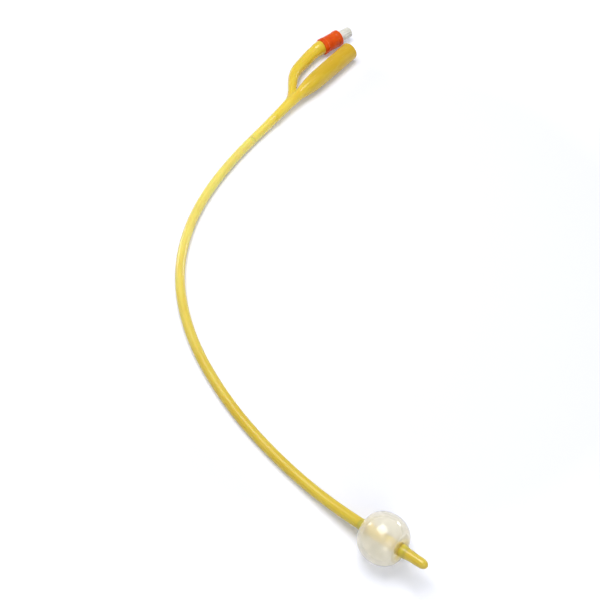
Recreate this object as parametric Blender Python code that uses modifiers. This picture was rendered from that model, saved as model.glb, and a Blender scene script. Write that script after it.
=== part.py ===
# Two-way balloon catheter of dipped latex, lying on a table with its balloon inflated.
# Metres, +Z up. The table is z = 0 and +X is the way out of the drainage funnel.
# The origin is at the middle of the catheter's footprint.

import math

import bmesh
import bpy
import numpy as np
from mathutils import Matrix, Vector

# Tube: its whole length along the middle, and the shaft
OVERALL_LENGTH = 0.4155
SHAFT_DIAMETER = 0.00533
OUTER_WALL = 0.00055
SEPTUM_WALL = 0.0005
INFLATION_LUMEN = 0.0008
TIP_DIAMETER = 0.0047
TIP_DOME_LENGTH = 0.0033
LUMEN_END_WALL = 0.0040

# Drainage funnel, from its mouth to the fork where the side arm leaves it
FUNNEL_LENGTH = 0.050
MOUTH_DIAMETER = 0.0114
MOUTH_BORE = 0.0084
SHOULDER_DIAMETER = 0.0108
SHOULDER_BORE = 0.0072
SHOULDER_LENGTH = 0.019
FORK_DIAMETER = 0.0062
RIM_ROUNDING = 0.0007
BORE_CHAMFER = 0.0002
SHAFT_FLARE = 0.045

# Balloon and tip, measured along the straight end of the shaft
BALLOON_DIAMETER = 0.0241
BALLOON_LENGTH = 0.0254
BALLOON_NECK_SPAN = 0.0186
BALLOON_WALL = 0.00025
BALLOON_DIMPLE = 0.0058
CUFF_LENGTH = 0.0040
CUFF_CLEARANCE = 0.00012
TIP_REACH = 0.0243
TIP_RISE = math.radians(14.0)

# Drainage eyes, on opposite sides of the tip, and the hole that fills the balloon
EYE_WIDTH = 0.0021
EYE_LENGTH = 0.0042
EYE_TURN = math.radians(30.0)
EYE_FROM_CUFF = 0.0028
EYE_STAGGER = 0.0012
FILL_HOLE = 0.0010

# Side arm
ARM_ROOT_DIAMETER = 0.0043
ARM_END_DIAMETER = 0.0079
ARM_WIDENING = 0.85
ARM_LUMEN = 0.0022
ARM_SAG = 0.0012
ARM_STRAIGHT = 0.0008
ARM_RINGS = 22

# Inflation valve, measured along its own axis from the outer face of the sleeve
VALVE_ANGLE = math.radians(-11.9)
PORT_LENGTH = 0.0089
PORT_DIAMETER = 0.0067
PORT_RIM_DIAMETER = 0.0061
PORT_BORE = 0.0043
PORT_BORE_END = 0.0038
PORT_BORE_DEPTH = 0.0084
PORT_RIBS = 12
RIB_GROOVE = 0.00035
FLANGE_THICKNESS = 0.0019
BARREL_DIAMETER = 0.0052
BARREL_LENGTH = 0.0102
BARB_HEIGHT = 0.00025
BARB_SLOPE = 0.0016
BARB_PLACES = (0.34, 0.68)
CHAMBER_DIAMETER = 0.0040
THROAT_DIAMETER = 0.0024
THROAT_LENGTH = 0.0016
RETAINER_THICKNESS = 0.0014
RETAINER_LIP = 0.0006
STEM_DIAMETER = 0.0016
STEM_TRAVEL = 0.0018
SYRINGE_REACH = 0.0068
STEM_COLLAR = 0.0006
SEAL_THICKNESS = 0.0009
SPRING_WIRE = 0.0003
SPRING_TURNS = 6.5

# Size sleeve
SLEEVE_DIAMETER = 0.0105
SLEEVE_LENGTH = 0.0143
SLEEVE_LIP = 0.0020
SLEEVE_ROUNDING = 0.0008
SLEEVE_WAIST = 0.00015
SLEEVE_BEAD = 0.0022

# Gaps between neighbours, and how round things are
CLEARANCE = 0.0002
BODY_SIDES = 20
ROUTE_STEP = 0.0105
TURNED_STEPS = 28

# The shaft's route over the table, chosen by hand, from the middle of the funnel's mouth
# to the cuff behind the balloon. Beyond its last point the shaft runs straight. It is drawn
# for the length above and is made larger or smaller where that length changes.
ROUTE = [
    (0.0, 0.0), (-0.025, 0.0002), (-0.050, 0.0004), (-0.075, 0.0005), (-0.098, 0.0),
    (-0.118, -0.0019), (-0.138, -0.0055), (-0.157, -0.0112), (-0.175, -0.0196),
    (-0.191, -0.0305), (-0.2045, -0.0437), (-0.2155, -0.0582), (-0.2244, -0.0735),
    (-0.2314, -0.0893), (-0.2370, -0.1052), (-0.2415, -0.1220), (-0.2449, -0.1400),
    (-0.2473, -0.1580), (-0.2488, -0.1770), (-0.2495, -0.1954),
]

# The side arm's route from inside the fork to its last bend. From there it runs straight
# along the valve's axis, which meets the sleeve's outer face at SLEEVE_FACE.
ARM_ROUTE = [
    (-0.0640, 0.0008), (-0.0566, 0.0027), (-0.0511, 0.0055), (-0.0466, 0.0087),
    (-0.0424, 0.0117), (-0.0382, 0.0141), (-0.0330, 0.0159), (-0.0270, 0.0168),
]
SLEEVE_FACE = (0.0057, 0.0133)


def clear_scene():
    for item in list(bpy.data.objects):
        bpy.data.objects.remove(item, do_unlink=True)


def new_collection(name):
    group = bpy.data.collections.new(name)
    bpy.context.scene.collection.children.link(group)
    return group


def make_material(name, colour, roughness, metallic=0.0, alpha=1.0):
    material = bpy.data.materials.new(name)
    material.use_nodes = True
    shader = material.node_tree.nodes["Principled BSDF"]
    shader.inputs["Base Color"].default_value = (*colour, 1.0)
    shader.inputs["Roughness"].default_value = roughness
    shader.inputs["Metallic"].default_value = metallic
    shader.inputs["Alpha"].default_value = alpha
    return material


# Curves along routes

def smooth_curve(points, count):
    """Evenly spaced points of a natural cubic spline through the given points."""
    knots = np.array(points, float)
    chord = np.linalg.norm(np.diff(knots, axis=0), axis=1)
    at = np.concatenate([[0.0], np.cumsum(chord)])
    size = len(knots)
    system = np.eye(size)
    right = np.zeros_like(knots)
    for i in range(1, size - 1):
        system[i, i - 1 : i + 2] = chord[i - 1], 2 * (chord[i - 1] + chord[i]), chord[i]
        slope_after = (knots[i + 1] - knots[i]) / chord[i]
        slope_before = (knots[i] - knots[i - 1]) / chord[i - 1]
        right[i] = 6 * (slope_after - slope_before)
    bend = np.linalg.solve(system, right)

    def value(where):
        i = np.clip(np.searchsorted(at, where) - 1, 0, size - 2)
        width = chord[i][:, None]
        left = (at[i + 1] - where)[:, None]
        gone = (where - at[i])[:, None]
        cubic = (bend[i] * left**3 + bend[i + 1] * gone**3) / (6 * width)
        first = (knots[i] / width - bend[i] * width / 6) * left
        second = (knots[i + 1] / width - bend[i + 1] * width / 6) * gone
        return cubic + first + second

    fine = value(np.linspace(0.0, at[-1], 40 * size))
    length = np.concatenate([[0.0], np.cumsum(np.linalg.norm(np.diff(fine, axis=0), axis=1))])
    places = np.linspace(0.0, length[-1], count)
    even = [np.interp(places, length, fine[:, axis]) for axis in range(knots.shape[1])]
    return np.stack(even, axis=1), length[-1]


class Centreline:
    """The middle of the main tube, from the funnel's mouth to the end of the tip.

    The funnel lies on its mouth, the shaft drops to the table behind the fork, and near the
    balloon it rises as a cantilever does, along a cubic that meets the straight end's slope.
    """

    def __init__(self):
        self.behind_balloon = BALLOON_NECK_SPAN / 2 + CUFF_LENGTH
        self.plan_length = OVERALL_LENGTH - self.behind_balloon - TIP_REACH
        drawn, drawn_length = smooth_curve(ROUTE, 400)
        self.plan = drawn * (self.plan_length / drawn_length)
        self.plan_at = np.linspace(0.0, self.plan_length, len(self.plan))
        heading = self.plan[-1] - self.plan[-4]
        self.heading = heading / np.linalg.norm(heading)
        self.lift = (
            BALLOON_DIAMETER / 2
            - self.behind_balloon * math.sin(TIP_RISE)
            - SHAFT_DIAMETER / 2
        )
        self.lift_run = 3 * self.lift / math.tan(TIP_RISE)
        flat = np.array([self.place(where) for where in self.plan_at])
        steps = np.linalg.norm(np.diff(flat, axis=0), axis=1)
        self.bend_points = flat
        self.bend_at = np.concatenate([[0.0], np.cumsum(steps)])
        self.bent_length = self.bend_at[-1]
        self.balloon_at = self.bent_length + self.behind_balloon
        self.length = self.balloon_at + TIP_REACH
        rise = math.sin(TIP_RISE)
        run = math.cos(TIP_RISE)
        self.end_direction = np.array([run * self.heading[0], run * self.heading[1], rise])

    def height(self, where):
        table = SHAFT_DIAMETER / 2
        drop = np.clip((FUNNEL_LENGTH + SHAFT_FLARE - where) / SHAFT_FLARE, 0.0, 1.0)
        eased = drop * drop * (3 - 2 * drop)
        up = np.clip(1 - (self.plan_length - where) / self.lift_run, 0.0, 1.0)
        return table + (MOUTH_DIAMETER / 2 - table) * eased + self.lift * up**3

    def place(self, where):
        x = np.interp(where, self.plan_at, self.plan[:, 0])
        y = np.interp(where, self.plan_at, self.plan[:, 1])
        return np.array([x, y, self.height(where)])

    def point(self, along):
        if along > self.bent_length:
            return self.bend_points[-1] + self.end_direction * (along - self.bent_length)
        if along < 0:
            return self.bend_points[0] + np.array([-along, 0.0, 0.0])
        bent = [np.interp(along, self.bend_at, self.bend_points[:, axis]) for axis in range(3)]
        return np.array(bent)

    def tangent(self, along):
        step = 0.0004
        ahead = self.point(along + step) - self.point(along - step)
        return ahead / np.linalg.norm(ahead)

    def arm_side(self, along):
        """The level direction across the shaft that points to the side arm's side."""
        across = np.cross(self.tangent(along), (0.0, 0.0, 1.0))
        return across / np.linalg.norm(across)


def funnel_radius(along, mouth, shoulder, fork):
    """Even taper from mouth to shoulder, then a quarter sine wave down to the fork."""
    cone = FUNNEL_LENGTH - SHOULDER_LENGTH
    if along < cone:
        return mouth + (shoulder - mouth) * max(0.0, along) / cone
    share = max(0.0, FUNNEL_LENGTH - along) / SHOULDER_LENGTH
    return fork + (shoulder - fork) * math.sin(math.pi / 2 * share)


def outer_radius(line, along):
    """The main tube's radius: rounded rim, funnel, flare, even shaft, tapered tip, dome."""
    fork = FORK_DIAMETER / 2
    shaft = SHAFT_DIAMETER / 2
    if along < FUNNEL_LENGTH:
        turn = max(0.0, 1 - along / RIM_ROUNDING)
        inset = RIM_ROUNDING * (1 - math.sqrt(1 - turn * turn))
        return funnel_radius(along, MOUTH_DIAMETER / 2, SHOULDER_DIAMETER / 2, fork) - inset
    if along < FUNNEL_LENGTH + SHAFT_FLARE:
        left = 1 - (along - FUNNEL_LENGTH) / SHAFT_FLARE
        return shaft + (fork - shaft) * left * left
    taper_start = line.balloon_at + line.behind_balloon
    dome_start = line.length - TIP_DOME_LENGTH
    if along <= taper_start:
        return shaft
    tip = TIP_DIAMETER / 2
    if along <= dome_start:
        share = (along - taper_start) / (dome_start - taper_start)
        return shaft + (tip - shaft) * share
    return tip * math.sqrt(max(0.0, 1 - ((along - dome_start) / TIP_DOME_LENGTH) ** 2))


def drainage_lumen_radius():
    """The drainage lumen takes what the walls and the inflation lumen leave."""
    return (SHAFT_DIAMETER - 2 * OUTER_WALL - SEPTUM_WALL - INFLATION_LUMEN) / 2


def tube_mesh(name, points, radii, sides, group):
    """A closed tube along the points, round in section, as a mesh object."""
    data = bpy.data.curves.new(name, "CURVE")
    data.dimensions = "3D"
    data.twist_mode = "Z_UP"
    data.bevel_depth = 1.0
    data.bevel_resolution = (sides - 4) // 2
    data.use_fill_caps = True
    spline = data.splines.new("POLY")
    spline.points.add(len(points) - 1)
    for point, place, radius in zip(spline.points, points, radii):
        point.co = (*place, 1.0)
        point.radius = radius
    curve = bpy.data.objects.new(name + "_curve", data)
    bpy.context.scene.collection.objects.link(curve)
    evaluated = curve.evaluated_get(bpy.context.evaluated_depsgraph_get())
    mesh = bpy.data.meshes.new_from_object(evaluated)
    mesh.name = name
    work = bmesh.new()
    work.from_mesh(mesh)
    bmesh.ops.remove_doubles(work, verts=work.verts, dist=0.000001)
    bmesh.ops.recalc_face_normals(work, faces=work.faces)
    work.to_mesh(mesh)
    work.free()
    bpy.data.objects.remove(curve, do_unlink=True)
    tube = bpy.data.objects.new(name, mesh)
    group.objects.link(tube)
    return tube


def turned(name, profile, group, steps=TURNED_STEPS, closed=True):
    """A solid turned about its local Z from a profile of (radius, height) points."""
    mesh = bpy.data.meshes.new(name)
    size = len(profile)
    edges = [(i, i + 1) for i in range(size - 1)]
    if closed:
        edges.append((size - 1, 0))
    mesh.from_pydata([(radius, 0.0, height) for radius, height in profile], edges, [])
    solid = bpy.data.objects.new(name, mesh)
    group.objects.link(solid)
    screw = solid.modifiers.new("turn", "SCREW")
    screw.steps = steps
    screw.render_steps = steps
    screw.use_merge_vertices = True
    screw.merge_threshold = 0.000001
    return solid


def cut(body, cutter, name, operation="DIFFERENCE"):
    modifier = body.modifiers.new(name, "BOOLEAN")
    modifier.operation = operation
    modifier.solver = "EXACT"
    modifier.object = cutter


def hide_cutter(cutter):
    cutter.hide_render = True
    cutter.display_type = "WIRE"


def finish(solid, material, sharp=35.0):
    """Gives a piece its material and smooth shading with sharp edges kept."""
    solid.data.materials.clear()
    solid.data.materials.append(material)
    if solid.data.polygons:
        solid.data.shade_smooth()
        solid.data.set_sharp_from_angle(angle=math.radians(sharp))


def aim(direction, up=(0.0, 0.0, 1.0)):
    """A turn that takes local Z along a direction and keeps local X level."""
    z = Vector(direction).normalized()
    x = Vector(up).cross(z).normalized()
    y = z.cross(x)
    return Matrix((x, y, z)).transposed().to_4x4()


# Stations along the main tube

def body_stations(line):
    """Where the main tube gets a ring: close at the rim and the dome, even between."""
    rim = [RIM_ROUNDING * share for share in (0.0, 0.12, 0.45, 1.0)]
    shoulder = FUNNEL_LENGTH - SHOULDER_LENGTH
    cone = list(np.linspace(RIM_ROUNDING, shoulder, 4))[1:]
    curve = list(np.linspace(shoulder, FUNNEL_LENGTH, 8))[1:-1]
    rings = round((line.bent_length - FUNNEL_LENGTH) / ROUTE_STEP)
    shaft = list(np.linspace(FUNNEL_LENGTH, line.bent_length, rings + 1))
    straight = [line.balloon_at, line.balloon_at + line.behind_balloon]
    dome_start = line.length - TIP_DOME_LENGTH
    dome = [
        dome_start + TIP_DOME_LENGTH * math.sin(math.radians(angle))
        for angle in (0, 22, 42, 60, 74, 84)
    ]
    return rim + cone + curve + shaft + straight + dome


def lumen_offset(line, along):
    """How far the drainage lumen sits from the shaft's middle, away from the arm's side."""
    off = SHAFT_DIAMETER / 2 - OUTER_WALL - drainage_lumen_radius()
    start = np.clip((along - FUNNEL_LENGTH) / (SHAFT_FLARE / 2), 0.0, 1.0)
    end = np.clip((line.balloon_at + line.behind_balloon - along) / CUFF_LENGTH, 0.0, 1.0)
    return off * min(start, end)


def drainage_cutter(line, group):
    """Funnel bore and drainage lumen, closed before the end of the tip."""
    lumen = drainage_lumen_radius()
    end = line.length - LUMEN_END_WALL
    outside = -3 * RIM_ROUNDING
    stations = [outside, 0.0, 2 * BORE_CHAMFER]
    stations += [s for s in body_stations(line) if 2 * RIM_ROUNDING < s < end - CUFF_LENGTH / 2]
    stations.append(end)
    points = []
    radii = []
    for along in stations:
        side = line.arm_side(along)
        points.append(line.point(along) - side * lumen_offset(line, along))
        chamfer = BORE_CHAMFER if along <= 0.0 else 0.0
        radii.append(funnel_radius(along, MOUTH_BORE / 2, SHOULDER_BORE / 2, lumen) + chamfer)
    return tube_mesh("drainage_lumen", points, radii, 16, group)


def arm_points(line, valve):
    """The arm's middle: hand-chosen bend that sags before the sleeve, then the valve's axis."""
    top = SLEEVE_DIAMETER / 2
    root = line.height(-ARM_ROUTE[0][0])
    bend = []
    for i, (x, y) in enumerate(ARM_ROUTE):
        share = i / (len(ARM_ROUTE) - 1)
        sag = ARM_SAG * share**3
        bend.append((x, y, root + (top - root) * share - sag))
    straight_from = valve @ Vector((0.0, 0.0, -valve_bottom() - ARM_STRAIGHT))
    inner_end = valve @ Vector((0.0, 0.0, -valve_bottom()))
    return smooth_curve(bend + [tuple(straight_from), tuple(inner_end)], ARM_RINGS)[0]


def valve_bottom():
    """Depth of the housing's lower end below the sleeve's outer face."""
    return SLEEVE_LIP + CLEARANCE + FLANGE_THICKNESS + BARREL_LENGTH


def arm_end():
    """Depth of the arm's cut end below the sleeve's outer face."""
    return SLEEVE_LIP + FLANGE_THICKNESS + 2 * CLEARANCE


def side_arm(line, valve, group):
    """Outside of the side arm, from inside the fork to its end under the valve's flange."""
    points = [tuple(p) for p in arm_points(line, valve)]
    radii = []
    for i in range(ARM_RINGS):
        share = min(1.0, i / (ARM_RINGS - 1) / ARM_WIDENING)
        eased = share * share * (3 - 2 * share)
        radii.append((ARM_ROOT_DIAMETER + (ARM_END_DIAMETER - ARM_ROOT_DIAMETER) * eased) / 2)
    points.append(tuple(valve @ Vector((0.0, 0.0, -arm_end()))))
    radii.append(ARM_END_DIAMETER / 2)
    return tube_mesh("side_arm", points, radii, BODY_SIDES, group)


def inflation_cutter(line, valve, group):
    """Inflation lumen: down the side arm, into the shaft's wall and along it to the balloon."""
    thin = INFLATION_LUMEN / 2
    arm = arm_points(line, valve)[::-1]
    points = [tuple(valve @ Vector((0.0, 0.0, -valve_bottom() + 5 * CLEARANCE)))]
    radii = [ARM_LUMEN / 2]
    kept = ARM_RINGS - 3
    for i in range(kept):
        points.append(tuple(arm[i]))
        radii.append(ARM_LUMEN / 2 + (thin - ARM_LUMEN / 2) * (i / (kept - 1)) ** 2)
    wall = SHAFT_DIAMETER / 2 - OUTER_WALL - thin
    flare_end = FUNNEL_LENGTH + SHAFT_FLARE
    joins = -ARM_ROUTE[0][0] - ARM_ROOT_DIAMETER / 2
    free = joins + ROUTE_STEP / 2
    stations = [along for along in body_stations(line) if free < along <= line.balloon_at]
    for along in [joins] + stations + [line.balloon_at + 2 * FILL_HOLE]:
        outer = outer_radius(line, along) - SHAFT_DIAMETER / 2 if along < flare_end else 0.0
        place = line.point(along) + line.arm_side(along) * (wall + outer)
        points.append(tuple(place))
        radii.append(thin)
    return tube_mesh("inflation_lumen", points, radii, 8, group)


def barrel_profile(grow, top, bottom):
    """Outside of the housing's barrel with its two barbs, top to bottom, grown all round."""
    radius = BARREL_DIAMETER / 2 + grow
    barb = radius + BARB_HEIGHT
    outline = [(radius, top)]
    for share in BARB_PLACES:
        crest = -(arm_end() + BARREL_LENGTH * share)
        outline += [(radius, crest + BARB_SLOPE), (barb, crest), (radius, crest - 0.00005)]
    outline.append((radius, bottom))
    return outline


def socket_cutter(valve, group):
    """The bore in the arm's end: the barrel's own outline, grown by the clearance."""
    above = -arm_end() + CLEARANCE * 3
    below = -valve_bottom() - CLEARANCE
    outline = barrel_profile(CLEARANCE, above, below)
    profile = [(0.0, above)] + outline + [(0.0, below)]
    cutter = turned("valve_socket", profile, group, steps=20, closed=False)
    cutter.matrix_world = valve
    return cutter


def eye_cutter(line, name, along, angle, group):
    """A long round-ended hole from the drainage lumen out through one side of the tip."""
    reach = SHAFT_DIAMETER
    bpy.ops.mesh.primitive_cylinder_add(vertices=16, radius=EYE_WIDTH / 2, depth=reach)
    eye = bpy.context.object
    eye.name = name
    for owner in list(eye.users_collection):
        owner.objects.unlink(eye)
    group.objects.link(eye)
    ahead = Vector(line.tangent(along))
    side = Vector(line.arm_side(along))
    over = side.cross(ahead)
    out = side * math.cos(angle) + over * math.sin(angle)
    across = out.cross(ahead)
    turn = Matrix((ahead, across, out)).transposed().to_4x4()
    middle = Vector(line.point(along)) + out * reach / 2
    stretch = Matrix.Diagonal((EYE_LENGTH / EYE_WIDTH, 1.0, 1.0, 1.0))
    eye.data.transform(Matrix.Translation(middle) @ turn @ stretch)
    if turn.determinant() < 0:
        eye.data.flip_normals()
    return eye


def fill_hole_cutter(line, group):
    """The hole from the inflation lumen out into the balloon."""
    along = line.balloon_at
    reach = SHAFT_DIAMETER / 2
    bpy.ops.mesh.primitive_cylinder_add(vertices=12, radius=FILL_HOLE / 2, depth=reach)
    hole = bpy.context.object
    hole.name = "fill_hole"
    for owner in list(hole.users_collection):
        owner.objects.unlink(hole)
    group.objects.link(hole)
    out = Vector(line.arm_side(along))
    depth = SHAFT_DIAMETER / 2 - OUTER_WALL - INFLATION_LUMEN / 2
    middle = Vector(line.point(along)) + out * (depth + reach / 2)
    hole.data.transform(Matrix.Translation(middle) @ aim(out))
    return hole


def latex_body(line, valve, parts, cutters, material):
    """Funnel, side arm, shaft and tip in one piece, with both lumens cut through it."""
    stations = body_stations(line)
    points = [tuple(line.point(along)) for along in stations]
    radii = [outer_radius(line, along) for along in stations]
    body = tube_mesh("latex_body", points, radii, BODY_SIDES, parts)
    arm = side_arm(line, valve, cutters)
    eye_at = line.balloon_at + line.behind_balloon + EYE_FROM_CUFF
    tools = [
        drainage_cutter(line, cutters),
        inflation_cutter(line, valve, cutters),
        socket_cutter(valve, cutters),
        eye_cutter(line, "eye_near", eye_at, -EYE_TURN, cutters),
        eye_cutter(line, "eye_far", eye_at + EYE_STAGGER, math.pi - EYE_TURN, cutters),
        fill_hole_cutter(line, cutters),
    ]
    cut(body, arm, "join side arm", "UNION")
    for tool in tools:
        cut(body, tool, "cut " + tool.name)
    for tool in tools + [arm]:
        hide_cutter(tool)
    finish(body, material)
    return body


def balloon(line, parts, material):
    """Thin sleeve: a cuff, a dimpled ball, a cuff. Turned as a surface, then given its wall."""
    cuff = SHAFT_DIAMETER / 2 + CUFF_CLEARANCE + BALLOON_WALL
    ball = BALLOON_DIAMETER / 2
    half = BALLOON_LENGTH / 2
    neck = BALLOON_NECK_SPAN / 2
    first = math.asin(cuff / ball)
    weight = math.exp(-((cuff / BALLOON_DIMPLE) ** 2))
    depth = (1 - neck / (half * math.cos(first))) / weight
    profile = [(cuff, neck + CUFF_LENGTH)]
    rings = 26
    for i in range(rings + 1):
        angle = first + (math.pi - 2 * first) * i / rings
        radius = ball * math.sin(angle)
        drawn_in = 1 - depth * math.exp(-((radius / BALLOON_DIMPLE) ** 2))
        profile.append((radius, half * math.cos(angle) * drawn_in))
    profile.append((cuff, -neck - CUFF_LENGTH))
    skin = turned("balloon", profile, parts, steps=32, closed=False)
    wall = skin.modifiers.new("wall", "SOLIDIFY")
    wall.thickness = BALLOON_WALL
    wall.offset = -1.0
    middle = Matrix.Translation(line.point(line.balloon_at))
    skin.matrix_world = middle @ aim(line.end_direction)
    finish(skin, material)
    return skin


def size_sleeve(valve, parts, material):
    """Moulded sleeve with rounded ends and a slight waist, turned in over the flange."""
    outer = SLEEVE_DIAMETER / 2
    waist = outer - SLEEVE_WAIST
    round_ = SLEEVE_ROUNDING
    end = -SLEEVE_LENGTH
    port = PORT_DIAMETER / 2 + CLEARANCE
    bore = ARM_END_DIAMETER / 2 + CLEARANCE
    corner = [math.radians(angle) for angle in (0, 30, 60, 90)]
    upper = [(outer - round_ + round_ * math.sin(a), -round_ + round_ * math.cos(a)) for a in corner]
    lower = [(r, end - z) for r, z in reversed(upper)]
    bead = SLEEVE_BEAD
    slope = SLEEVE_BEAD / 3
    middle = [(outer, -bead), (waist, -bead - slope), (waist, end + bead + slope), (outer, end + bead)]
    inside = [(bore, end), (bore, -SLEEVE_LIP), (port, -SLEEVE_LIP), (port, 0.0)]
    sleeve = turned("size_sleeve", upper + middle + lower + inside, parts)
    sleeve.matrix_world = valve
    finish(sleeve, material)
    return sleeve


def valve_housing(valve, parts, cutters, material):
    """Luer port with ribs, flange, and barrel with barbs; inside, taper, throat and chamber."""
    port = PORT_DIAMETER / 2
    rim = PORT_RIM_DIAMETER / 2
    mouth = PORT_BORE / 2
    taper_end = PORT_LENGTH - PORT_BORE_DEPTH
    throat = THROAT_DIAMETER / 2
    chamber = CHAMBER_DIAMETER / 2
    chamber_top = taper_end - THROAT_LENGTH
    flange_top = -SLEEVE_LIP - CLEARANCE
    flange_base = flange_top - FLANGE_THICKNESS
    bottom = -valve_bottom()
    lip = chamber - 2 * CLEARANCE
    rounding = (port - rim) * 1.2
    outside = [(rim, PORT_LENGTH), (port, PORT_LENGTH - rounding), (port, flange_top)]
    outside += [(ARM_END_DIAMETER / 2, flange_top), (ARM_END_DIAMETER / 2, flange_base)]
    outside += barrel_profile(0.0, flange_base, bottom)
    inside = [
        (lip, bottom),
        (lip, bottom + RETAINER_LIP),
        (chamber, bottom + RETAINER_LIP),
        (chamber, chamber_top),
        (throat, chamber_top),
        (throat, taper_end),
        (PORT_BORE_END / 2, taper_end),
        (mouth, PORT_LENGTH - BORE_CHAMFER),
        (mouth + BORE_CHAMFER, PORT_LENGTH),
    ]
    housing = turned("valve_housing", outside + inside, parts, steps=36)
    housing.matrix_world = valve
    grooves = bmesh.new()
    groove = math.pi * port / PORT_RIBS / 2
    groove_foot = PORT_LENGTH * 0.30
    height = PORT_LENGTH - groove_foot + rounding
    for i in range(PORT_RIBS):
        angle = 2 * math.pi * i / PORT_RIBS
        reach = port - RIB_GROOVE + groove
        middle = Vector((reach * math.cos(angle), reach * math.sin(angle), groove_foot + height / 2))
        bmesh.ops.create_cone(
            grooves,
            cap_ends=True,
            segments=10,
            radius1=groove,
            radius2=groove,
            depth=height,
            matrix=Matrix.Translation(middle) @ Matrix.Rotation(angle, 4, "Z"),
        )
    mesh = bpy.data.meshes.new("rib_grooves")
    grooves.to_mesh(mesh)
    grooves.free()
    cutter = bpy.data.objects.new("rib_grooves", mesh)
    cutters.objects.link(cutter)
    cutter.matrix_world = valve
    hide_cutter(cutter)
    cut(housing, cutter, "cut rib grooves")
    finish(housing, material)
    return housing


def valve_levels():
    """Heights inside the valve, along its axis, that the moving pieces share."""
    chamber_top = PORT_LENGTH - PORT_BORE_DEPTH - THROAT_LENGTH
    seal_top = chamber_top - CLEARANCE
    collar_top = seal_top - SEAL_THICKNESS - CLEARANCE
    collar_base = collar_top - STEM_COLLAR
    retainer_base = -valve_bottom() + RETAINER_LIP + CLEARANCE
    retainer_top = retainer_base + RETAINER_THICKNESS
    return seal_top, collar_top, collar_base, retainer_top, retainer_base


def valve_stem(valve, parts, material):
    """Stem: rounded head, rod, collar under the seal, guided tail. A syringe's tip reaches
    deeper into the port than the head stands, by the stem's travel."""
    collar_top, collar_base = valve_levels()[1:3]
    retainer_base = valve_levels()[4]
    rod = STEM_DIAMETER / 2
    collar = CHAMBER_DIAMETER / 2 - 1.5 * CLEARANCE
    tail = rod - CLEARANCE / 2
    head = PORT_LENGTH - (SYRINGE_REACH - STEM_TRAVEL)
    profile = [
        (0.0, head),
        (rod * 0.6, head - rod * 0.12),
        (rod, head - rod * 0.6),
        (rod, collar_top),
        (collar, collar_top),
        (collar, collar_base),
        (tail, collar_base),
        (tail, retainer_base),
        (0.0, retainer_base),
    ]
    stem = turned("valve_stem", profile, parts, steps=20, closed=False)
    stem.matrix_world = valve
    finish(stem, material)
    return stem


def stem_seal(valve, parts, material):
    """Rubber ring on the stem, bevelled to meet the seat under the throat."""
    seal_top, collar_top = valve_levels()[:2]
    inner = STEM_DIAMETER / 2 + CLEARANCE
    outer = CHAMBER_DIAMETER / 2 - 1.5 * CLEARANCE
    base = seal_top - SEAL_THICKNESS
    bevel = SEAL_THICKNESS * 0.4
    profile = [
        (outer - bevel, seal_top),
        (outer, seal_top - bevel),
        (outer, base),
        (inner, base),
        (inner, seal_top),
    ]
    seal = turned("stem_seal", profile, parts, steps=24)
    seal.matrix_world = valve
    finish(seal, material)
    return seal


def spring_retainer(valve, parts, material):
    """Ring snapped in above the barrel's lip; the spring stands on it, the tail runs in it."""
    retainer_top, retainer_base = valve_levels()[3:]
    outer = CHAMBER_DIAMETER / 2 - CLEARANCE
    inner = STEM_DIAMETER / 2 + CLEARANCE
    profile = [
        (outer, retainer_top),
        (outer, retainer_base),
        (inner, retainer_base),
        (inner, retainer_top),
    ]
    ring = turned("spring_retainer", profile, parts, steps=24)
    ring.matrix_world = valve
    finish(ring, material)
    return ring


def valve_spring(valve, parts, material):
    """Coil spring between the collar and the retainer, with flattened pitch at both ends."""
    collar_base, retainer_top = valve_levels()[2:4]
    wire = SPRING_WIRE / 2
    seat = wire + CLEARANCE
    top = collar_base - seat
    bottom = retainer_top + seat
    inside = STEM_DIAMETER / 2
    radius = (inside + CHAMBER_DIAMETER / 2) / 2
    count = round(SPRING_TURNS * 12)
    points = []
    for i in range(count + 1):
        share = i / count
        angle = 2 * math.pi * SPRING_TURNS * share
        dead = 0.6 / SPRING_TURNS
        active = min(1.0, max(0.0, (share - dead) / (1 - 2 * dead)))
        lay = SPRING_WIRE * 1.25 * 0.6
        rise = lay * min(1.0, share / dead) + lay * max(0.0, (share - 1 + dead) / dead)
        height = bottom + rise + (top - bottom - 2 * lay) * active
        points.append((radius * math.cos(angle), radius * math.sin(angle), height))
    coil = tube_mesh("valve_spring", points, [wire] * len(points), 8, parts)
    coil.matrix_world = valve
    finish(coil, material, 60.0)
    return coil


def stand_on_footprint(pieces, root):
    """Moves everything so that the origin is under the middle of the whole catheter."""
    bpy.context.view_layer.update()
    graph = bpy.context.evaluated_depsgraph_get()
    corners = []
    for piece in pieces:
        shape = piece.evaluated_get(graph)
        corners += [shape.matrix_world @ vertex.co for vertex in shape.data.vertices]
    places = np.array(corners)
    low = places.min(axis=0)
    high = places.max(axis=0)
    middle = (low + high) / 2
    root.location = (-middle[0], -middle[1], -low[2])


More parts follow.
